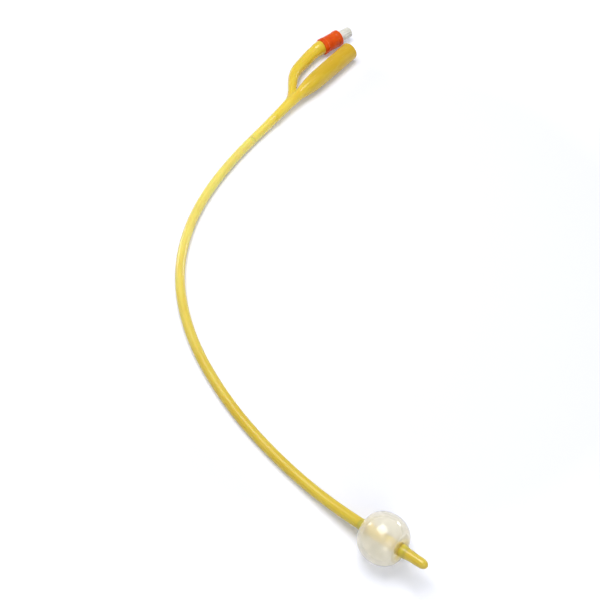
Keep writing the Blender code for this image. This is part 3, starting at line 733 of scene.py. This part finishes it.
balloonSkin = makeFilm()
cuffBehind = makeCuff("cuffBehind", -1.0)
cuffAhead = makeCuff("cuffAhead", 1.0)
print("foley catheter: balloon made")

# sleeve and valve
sleevePiece = {
    "radius": 0.00525,
    "waist": 0.00026,
    "rounding": 0.0008,
    "bead": 0.0027,
    "step": 0.0005,
    "port": 0.00355,
    "bore": 0.00415,
    "lip": 0.0020,
}
housingPiece = {
    "port": 0.00335,
    "rim": 0.00305,
    "portLength": 0.0089,
    "ribs": 12,
    "groove": 0.00035,
    "ribRows": (0.0078, 0.0022, 18),  # the outline has points here for the grooves to move
    "ribsBeyond": 0.0028,
    "ribFoot": 0.0027,
    "ribFade": 0.0008,
    "flange": 0.00395,
    "flangeTop": -0.0022,
    "flangeBase": -0.0041,
    "barrel": 0.0026,
    "barb": 0.00025,
    "barbSlope": 0.0016,
    "barbCrests": (-0.00777, -0.01124),
    "foot": 0.0006,
    "lip": 0.0004,
    "bottom": -0.0143,
    "chamber": 0.0020,
    "chamberTop": -0.0011,
    "throat": 0.0012,
    "taperEnd": 0.0005,
    "boreEnd": 0.0019,
    "boreMouth": 0.00215,
}


def makeSleeve():
    # turned outline: rounded beads at both ends, a slightly lower band between them
    s = sleevePiece
    length = valve["sleeveLength"]
    full = s["radius"]
    waist = full - s["waist"]
    inner = s["bead"] + s["step"]
    corners = [
        (s["port"], 0.0, 0.00025), (full, 0.0, s["rounding"]),
        (full, -s["bead"], 0.0005), (waist, -inner, 0.0003),
        (waist, inner - length, 0.0003), (full, s["bead"] - length, 0.0005),
        (full, -length, s["rounding"]), (s["bore"], -length, 0.00025),
        (s["bore"], -s["lip"], 0.0001), (s["port"], -s["lip"], 0.0001),
    ]
    outline = rounded(corners, 7)
    return surface("sizeSleeve", turnedAbout(faceInRow, valveAxis, outline, 120), loop=True)


def portRibs(angle, profile):
    # grooves between the ribs: groove (1 - |sin(n a / 2)|^0.6), faded in above the rib's foot
    count = housingPiece["ribs"]
    groove = 1 - np.abs(np.sin(count * angle / 2)) ** 0.6
    height = profile[:, 1]
    outside = (profile[:, 0] > housingPiece["ribsBeyond"]) & (height > 0.0)
    fade = ease((height - housingPiece["ribFoot"]) / housingPiece["ribFade"]) * outside
    return housingPiece["groove"] * fade[:, None] * groove[None, :]


def makeHousing():
    # turned outline (radius, height, fillet): down the port, flange and barbs, up the hollow inside
    h = housingPiece
    step = h["flangeTop"]
    corners = [(h["rim"], h["portLength"], 0.00012), (h["port"], h["portLength"] - 0.00036, 0.0002)]
    corners += [(h["port"], height, 0.0) for height in np.linspace(*h["ribRows"])]
    corners += [(h["port"], step, 0.00015), (h["flange"], step, 0.0002)]
    corners += [(h["flange"], h["flangeBase"], 0.0002), (h["barrel"], h["flangeBase"], 0.0001)]
    for crest in h["barbCrests"]:
        corners += [(h["barrel"], crest + h["barbSlope"], 0.0003), (h["barrel"] + h["barb"], crest, 0.00008)]
        corners += [(h["barrel"], crest - 0.00005, 0.00005)]
    inLip = h["chamber"] - h["lip"]
    onFoot = h["bottom"] + h["foot"]
    corners += [(h["barrel"], h["bottom"], 0.0002), (inLip, h["bottom"], 0.0001)]
    corners += [(inLip, onFoot, 0.0001), (h["chamber"], onFoot, 0.0001)]
    corners += [(h["chamber"], h["chamberTop"], 0.0002), (h["throat"], h["chamberTop"], 0.0001)]
    corners += [(h["throat"], h["taperEnd"], 0.0001), (h["boreEnd"], h["taperEnd"], 0.0001)]
    corners += [(h["boreMouth"], h["portLength"], 0.0002)]
    outline = rounded(corners, 4)
    return surface("valveHousing", turnedAbout(faceInRow, valveAxis, outline, 192, portRibs), loop=True)


springPiece = {
    "turns": 6.5,
    "wire": 0.00015,
    "radius": 0.0014,
    "top": -0.00335,
    "bottom": -0.01175,
    "closed": 0.6,  # turns that lie close at each end
    "pitchInWires": 2.5,  # their pitch, in wire radii
    "belowCoil": 0.00035,
}


def makeSpring():
    # helix, pitched between two closed end turns, with a round wire carried along it
    s = springPiece
    share = np.linspace(0.0, 1.0, 420)
    dead = s["closed"] / s["turns"]
    lay = s["wire"] * s["pitchInWires"] * s["closed"]
    active = np.clip((share - dead) / (1 - 2 * dead), 0.0, 1.0)
    rise = lay * np.minimum(1.0, share / dead) + lay * np.maximum(0.0, (share - 1 + dead) / dead)
    height = s["bottom"] + rise + (s["top"] - s["bottom"] - 2 * lay) * active
    angle = 2 * math.pi * s["turns"] * share
    across = np.array([0.0, 0.0, 1.0])
    over = np.cross(valveAxis, across)
    outward = np.cos(angle)[:, None] * across + np.sin(angle)[:, None] * over
    centre = faceInRow + height[:, None] * valveAxis + s["radius"] * outward
    tangent = unit(np.gradient(centre, axis=0))
    rings = carry(centre, outward, np.cross(tangent, outward), np.full(len(share), s["wire"]), 12)
    return surface("valveSpring", rings, centre[0], centre[-1])


sizeSleeve = makeSleeve()
valveHousing = makeHousing()
valveSpring = makeSpring()
print("foley catheter: sleeve and valve made")

# materials


def newGroup(name, inputs, outputs):
    group = bpy.data.node_groups.new(name, "ShaderNodeTree")
    for label, kind, value in inputs:
        socket = group.interface.new_socket(label, in_out="INPUT", socket_type=kind)
        if value is not None:
            socket.default_value = value
    for label, kind in outputs:
        group.interface.new_socket(label, in_out="OUTPUT", socket_type=kind)
    return group


def addNode(tree, kind, values=None, inputs=None):
    node = tree.nodes.new(kind)
    for key, value in (values or {}).items():
        setattr(node, key, value)
    for key, value in (inputs or {}).items():
        if isinstance(value, bpy.types.NodeSocket):
            tree.links.new(value, node.inputs[key])
        else:
            node.inputs[key].default_value = value
    return node


def blotchGroup():
    # soft blotches, finer grain and sparse specks, for rubber and moulded plastic alike
    group = newGroup(
        "surfaceVariation",
        [
            ("Vector", "NodeSocketVector", None),
            ("Blotch Scale", "NodeSocketFloat", 90.0),
            ("Grain Scale", "NodeSocketFloat", 2200.0),
            ("Speck Scale", "NodeSocketFloat", 900.0),
        ],
        [("Blotch", "NodeSocketFloat"), ("Grain", "NodeSocketFloat"), ("Specks", "NodeSocketFloat")],
    )
    source = group.nodes.new("NodeGroupInput").outputs
    out = group.nodes.new("NodeGroupOutput")
    blotch = addNode(group, "ShaderNodeTexNoise", inputs={
        "Vector": source["Vector"], "Scale": source["Blotch Scale"], "Detail": 3.0, "Roughness": 0.55,
    })
    spread = addNode(group, "ShaderNodeMapRange", inputs={
        "Value": blotch.outputs["Fac"], "From Min": 0.32, "From Max": 0.68,
    })
    grain = addNode(group, "ShaderNodeTexNoise", inputs={
        "Vector": source["Vector"], "Scale": source["Grain Scale"], "Detail": 4.0, "Roughness": 0.6,
    })
    specks = addNode(group, "ShaderNodeTexVoronoi", inputs={
        "Vector": source["Vector"], "Scale": source["Speck Scale"],
    })
    near = addNode(group, "ShaderNodeMapRange", inputs={
        "Value": specks.outputs["Distance"], "From Min": 0.05, "From Max": 0.22, "To Min": 1.0, "To Max": 0.0,
    })
    group.links.new(spread.outputs["Result"], out.inputs["Blotch"])
    group.links.new(grain.outputs["Fac"], out.inputs["Grain"])
    group.links.new(near.outputs["Result"], out.inputs["Specks"])
    return group


surfaceVariation = blotchGroup()


def newMaterial(name, fixed):
    material = bpy.data.materials.new(name)
    material.use_nodes = True
    tree = material.node_tree
    shader = tree.nodes["Principled BSDF"]
    for key, value in fixed.items():
        shader.inputs[key].default_value = value
    return material, tree, shader


def variation(tree, blotch, grain, speck, place=None):
    place = place or addNode(tree, "ShaderNodeTexCoord").outputs["Object"]
    return addNode(tree, "ShaderNodeGroup", {"node_tree": surfaceVariation}, {
        "Vector": place, "Blotch Scale": blotch, "Grain Scale": grain, "Speck Scale": speck,
    })


def mixColour(tree, share, first, second, mode="MIX"):
    node = addNode(tree, "ShaderNodeMix", {"data_type": "RGBA", "blend_type": mode})
    for socket, value in ((node.inputs[0], share), (node.inputs[6], first), (node.inputs[7], second)):
        if isinstance(value, bpy.types.NodeSocket):
            tree.links.new(value, socket)
        else:
            socket.default_value = value
    return node.outputs[2]


def ranged(tree, value, low, high, fromLow=0.0, fromHigh=1.0):
    return addNode(tree, "ShaderNodeMapRange", inputs={
        "Value": value, "From Min": fromLow, "From Max": fromHigh, "To Min": low, "To Max": high,
    }).outputs["Result"]


def combined(tree, operation, first, second):
    return addNode(tree, "ShaderNodeMath", {"operation": operation}, {0: first, 1: second}).outputs[0]


def dressed(tree, shader, parts, base, rough, strength, distance, height="Grain"):
    # colour, a roughness that follows the grain, and a fine relief
    tree.links.new(base, shader.inputs["Base Color"])
    tree.links.new(ranged(tree, parts.outputs["Grain"], *rough), shader.inputs["Roughness"])
    bump = addNode(tree, "ShaderNodeBump", inputs={
        "Height": parts.outputs[height], "Strength": strength, "Distance": distance,
    })
    tree.links.new(bump.outputs["Normal"], shader.inputs["Normal"])


def fromDisplay(red, green, blue):
    # a colour as it is seen on a display, as linear light
    values = np.array([red, green, blue]) / 255.0
    linear = np.where(values <= 0.04045, values / 12.92, ((values + 0.055) / 1.055) ** 2.4)
    return (*linear.tolist(), 1.0)


latexLook = {
    "stops": [  # share of the tube's length from the mouth, colour
        (0.000, (218, 180, 26)), (0.035, (222, 184, 26)), (0.084, (224, 190, 30)),
        (0.120, (242, 210, 52)), (0.168, (252, 230, 84)), (0.240, (255, 241, 124)),
        (0.360, (255, 240, 124)), (0.505, (242, 224, 100)), (0.600, (231, 209, 84)),
        (0.720, (226, 201, 70)), (0.855, (228, 205, 70)), (1.000, (229, 206, 70)),
    ],
    "paintedShadeInBall": [  # distance from the ball's middle, colour: painted shade, darker where the film is round the shaft
        (-0.0100, (228, 206, 70)), (-0.0080, (206, 182, 30)),
        (0.0080, (206, 182, 30)), (0.0100, (229, 206, 70)),
    ],
    "armColour": (242, 214, 56),
    "pale": (246, 230, 130),
    "deep": (208, 164, 30),
    "speck": (250, 240, 190),
    "lengthwise": 0.16,  # a length along the tube counts this much, so the pattern runs with it
}


def latexMaterial():
    material, tree, shader = newMaterial("yellowLatex", {
        "Subsurface Weight": 0.5,
        "Subsurface Radius": (1.0, 0.72, 0.18),
        "Subsurface Scale": 0.0022,
        "Coat Roughness": 0.14,
        "Coat IOR": 1.45,
        "Specular IOR Level": 0.3,
        "Sheen Weight": 0.03,
        "Sheen Roughness": 0.35,
        "Sheen Tint": fromDisplay(255, 244, 200),
    })
    inTube = addNode(tree, "ShaderNodeAttribute", {"attribute_name": "inTube"})
    parts = variation(tree, 300.0, 2600.0, 700.0, inTube.outputs["Vector"])
    streaks = variation(tree, 900.0, 5000.0, 1500.0, inTube.outputs["Vector"])
    along = addNode(tree, "ShaderNodeAttribute", {"attribute_name": "along"})
    onArm = addNode(tree, "ShaderNodeAttribute", {"attribute_name": "onArm"})
    ramp = addNode(tree, "ShaderNodeValToRGB", inputs={"Fac": along.outputs["Fac"]})
    # the stops inside the ball are painted shade on the shaft where the film covers it
    paintedShadeInBall = [((balloonAt + away) / tubeLength, colour) for away, colour in latexLook["paintedShadeInBall"]]
    stops = sorted(latexLook["stops"] + paintedShadeInBall)
    while len(ramp.color_ramp.elements) < len(stops):
        ramp.color_ramp.elements.new(0.5)
    for element, (share, colour) in zip(ramp.color_ramp.elements, stops):
        element.position = share
        element.color = fromDisplay(*colour)
    base = mixColour(tree, onArm.outputs["Fac"], ramp.outputs["Color"], fromDisplay(*latexLook["armColour"]))
    blotch = parts.outputs["Blotch"]
    for share, colour in (
        (ranged(tree, blotch, 0.22, 0.0), "deep"),
        (ranged(tree, streaks.outputs["Blotch"], 0.16, 0.0, 0.0, 0.6), "deep"),
        (ranged(tree, blotch, 0.0, 0.16, 0.45, 1.0), "pale"),
        (ranged(tree, parts.outputs["Specks"], 0.0, 0.10), "speck"),
    ):
        base = mixColour(tree, share, base, fromDisplay(*latexLook[colour]))
    dressed(tree, shader, parts, base, (0.34, 0.56), 0.35, 0.00006)
    station = along.outputs["Fac"]
    upper = ranged(tree, station, 1.0, 0.35, 0.48, 0.64)
    shiny = combined(tree, "MAXIMUM", upper, ranged(tree, station, 0.0, 1.0, 0.955, 0.975))
    gloss = combined(tree, "MULTIPLY", ranged(tree, blotch, 0.95, 0.75), shiny)
    tree.links.new(gloss, shader.inputs["Coat Weight"])
    return material


def filmMaterial():
    material, tree, shader = newMaterial("pearlyFilm", {
        "Transmission Weight": 0.70,
        "Alpha": 0.92,
        "IOR": 1.15,
        "Coat Weight": 1.0,
        "Coat Roughness": 0.05,
        "Coat IOR": 1.5,
        "Sheen Weight": 0.2,
        "Sheen Roughness": 0.3,
    })
    parts = variation(tree, 60.0, 1400.0, 420.0)
    base = mixColour(tree, parts.outputs["Blotch"], fromDisplay(251, 248, 236), fromDisplay(255, 253, 244))
    neck = addNode(tree, "ShaderNodeAttribute", {"attribute_name": "neck"})
    base = mixColour(tree, ranged(tree, neck.outputs["Fac"], 0.0, 0.85), base, fromDisplay(246, 224, 100))
    dressed(tree, shader, parts, base, (0.05, 0.09), 0.08, 0.0002, "Blotch")
    return material


def sleeveMaterial():
    material, tree, shader = newMaterial("orangeSleeve", {
        "Subsurface Weight": 0.35,
        "Subsurface Radius": (1.0, 0.32, 0.05),
        "Subsurface Scale": 0.0016,
        "Coat Weight": 0.4,
        "Coat Roughness": 0.08,
        "Coat IOR": 1.35,
        "Specular IOR Level": 0.2,
    })
    parts = variation(tree, 260.0, 3200.0, 1100.0)
    base = mixColour(tree, parts.outputs["Blotch"], fromDisplay(222, 76, 0), fromDisplay(238, 94, 2))
    base = mixColour(tree, ranged(tree, parts.outputs["Specks"], 0.0, 0.12), base, fromDisplay(240, 120, 50))
    dressed(tree, shader, parts, base, (0.30, 0.50), 0.25, 0.00005)
    return material


def plasticMaterial(name, dark, pale, roughness, coat, extra=None):
    # moulded plastic: faint clouding, fine matt texture
    material, tree, shader = newMaterial(name, {
        "Coat Weight": coat, "Coat Roughness": 0.2, **(extra or {}),
    })
    parts = variation(tree, 300.0, 3600.0, 1300.0)
    base = mixColour(tree, parts.outputs["Blotch"], fromDisplay(*dark), fromDisplay(*pale))
    dressed(tree, shader, parts, base, (roughness - 0.08, roughness + 0.12), 0.2, 0.00004)
    return material


def steelMaterial():
    # drawn wire: fine streaks in tone and gloss
    material, tree, shader = newMaterial("springSteel", {"Metallic": 1.0})
    parts = variation(tree, 900.0, 6000.0, 2000.0)
    base = mixColour(tree, parts.outputs["Blotch"], fromDisplay(176, 178, 182), fromDisplay(214, 216, 220))
    dressed(tree, shader, parts, base, (0.2, 0.42), 0.2, 0.00001)
    return material


whitePlastic = plasticMaterial("whitePlastic", (226, 225, 214), (242, 242, 236), 0.36, 0.25, {
    "Subsurface Weight": 0.12, "Subsurface Radius": (1.0, 0.95, 0.85), "Subsurface Scale": 0.0009,
})
stemPlastic = plasticMaterial("stemPlastic", (206, 212, 218), (226, 230, 234), 0.3, 0.3)
sealRubber = plasticMaterial("sealRubber", (34, 34, 36), (54, 54, 56), 0.62, 0.05)
looks = {
    "yellow_latex": latexMaterial(),
    "balloon_film": filmMaterial(),
    "orange_sleeve": sleeveMaterial(),
    "white_plastic": whitePlastic,
    "spring_steel": steelMaterial(),
}
for piece, station in ((cuffBehind, balloonAt - ball["cuffTone"]), (cuffAhead, cuffEnd)):
    setAttribute(piece.data, "along", np.full(len(piece.data.vertices), station / tubeLength))
for piece in (latexShaft, latexFork, latexTip, cuffBehind, cuffAhead):
    markPlace(piece.data)
for node, look in (("valve_stem", stemPlastic), ("stem_seal", sealRubber), ("spring_retainer", whitePlastic)):
    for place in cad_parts[node].material_slots:
        place.material = look
print("foley catheter: materials made")

# bodies and stand-ins
for piece, node, slotName in (
    (latexShaft, "latex_body", "yellow_latex"),
    (latexFork, "latex_body", "yellow_latex"),
    (latexTip, "latex_body", "yellow_latex"),
    (balloonSkin, "balloon", "balloon_film"),
    (cuffBehind, "balloon", "yellow_latex"),
    (cuffAhead, "balloon", "yellow_latex"),
    (sizeSleeve, "size_sleeve", "orange_sleeve"),
    (valveHousing, "valve_housing", "white_plastic"),
    (valveSpring, "valve_spring", "spring_steel"),
):
    piece.data.materials.clear()
    piece.data.materials.append(looks[slotName])
    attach(piece, "catheter")
    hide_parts(node)
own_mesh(valveSpring)

# floor, world and lamps
studio = {
    "floorReach": 4.0,
    "floorColour": (0.85, 0.86, 0.95),
    "floorGlow": 0.17,
    "glowColour": (0.91, 0.95, 1.0),
    "glowFrom": (0.15, 0.45),  # the floor brightens to full white with distance
    "worldLight": 0.11,
    "worldColour": (0.90, 0.95, 1.0),
    "mirroredWhite": 0.3,
    "lamps": [  # name, direction from the middle, distance, size, share of full light, colour
        ("overhead", (0.08, 0.22, 1.0), 0.95, 0.62, 0.85, (1.0, 0.99, 0.97)),
        ("backLeft", (0.06, 0.95, 0.30), 0.95, 0.20, 0.14, (1.0, 1.0, 1.0)),
        ("right", (0.97, -0.18, 0.12), 0.95, 0.20, 0.12, (1.0, 1.0, 1.0)),
        ("cameraSide", (-0.45, -0.70, 0.60), 0.95, 0.60, 0.27, (1.0, 1.0, 1.0)),
    ],
    "middle": (-0.05, -0.02, 0.01),
}


def whiteSeen(tree):
    # 1 for rays that see the ground's white, less for the ones that a gloss sends back
    rays = addNode(tree, "ShaderNodeLightPath").outputs
    mirrored = combined(tree, "MULTIPLY", rays["Is Glossy Ray"], studio["mirroredWhite"])
    seen = combined(tree, "MAXIMUM", rays["Is Camera Ray"], mirrored)
    return combined(tree, "MAXIMUM", seen, rays["Is Transmission Ray"])


def makeFloor():
    # a level square grid
    count = 9
    share = np.linspace(-studio["floorReach"], studio["floorReach"], count)
    x, y = np.meshgrid(share, share, indexing="ij")
    points = np.stack([x, y, np.zeros_like(x)], axis=-1).reshape(-1, 3)
    grid = np.arange(count * count).reshape(count, count)
    quads = np.stack([grid[:-1, :-1], grid[1:, :-1], grid[1:, 1:], grid[:-1, 1:]], axis=-1).reshape(-1, 4)
    mesh = bpy.data.meshes.new("floor")
    mesh.from_pydata(points.tolist(), [], quads.tolist())
    floor = addPiece("floor", mesh)
    material, tree, shader = newMaterial("paleTable", {
        "Base Color": (*studio["floorColour"], 1.0), "Roughness": 0.9, "Specular IOR Level": 0.1,
    })
    glow = addNode(tree, "ShaderNodeEmission", inputs={"Color": (*studio["glowColour"], 1.0)})
    place = addNode(tree, "ShaderNodeTexCoord")
    away = addNode(tree, "ShaderNodeVectorMath", {"operation": "LENGTH"}, {0: place.outputs["Object"]})
    glowHere = ranged(tree, away.outputs["Value"], studio["floorGlow"], 1.0, *studio["glowFrom"])
    tree.links.new(combined(tree, "MULTIPLY", whiteSeen(tree), glowHere), glow.inputs["Strength"])
    total = addNode(tree, "ShaderNodeAddShader")
    tree.links.new(shader.outputs[0], total.inputs[0])
    tree.links.new(glow.outputs[0], total.inputs[1])
    tree.links.new(total.outputs[0], tree.nodes["Material Output"].inputs["Surface"])
    mesh.materials.append(material)


def makeWorld():
    world = bpy.data.worlds.new("studio")
    bpy.context.scene.world = world
    world.use_nodes = True
    tree = world.node_tree
    tree.nodes.clear()
    light = addNode(tree, "ShaderNodeBackground", inputs={
        "Color": (*studio["worldColour"], 1.0), "Strength": studio["worldLight"],
    })
    white = addNode(tree, "ShaderNodeBackground", inputs={"Color": (1.0, 1.0, 1.0, 1.0), "Strength": 1.0})
    mix = addNode(tree, "ShaderNodeMixShader", inputs={
        0: whiteSeen(tree), 1: light.outputs[0], 2: white.outputs[0],
    })
    out = addNode(tree, "ShaderNodeOutputWorld")
    tree.links.new(mix.outputs[0], out.inputs["Surface"])


def makeLamps():
    # a lamp of power P at distance d lights a facing white surface to P / (pi d)^2
    for name, direction, distance, size, share, colour in studio["lamps"]:
        data = bpy.data.lights.new(name, "AREA")
        data.shape = "SQUARE"
        data.size = size
        data.energy = share * (math.pi * distance) ** 2
        data.color = colour
        away = unit(np.array(direction, float))
        aimed(addPiece(name, data), np.array(studio["middle"]) + away * distance, -away)


makeFloor()
makeWorld()
makeLamps()
bpy.context.scene.view_settings.view_transform = "Standard"
print("foley catheter: studio made")
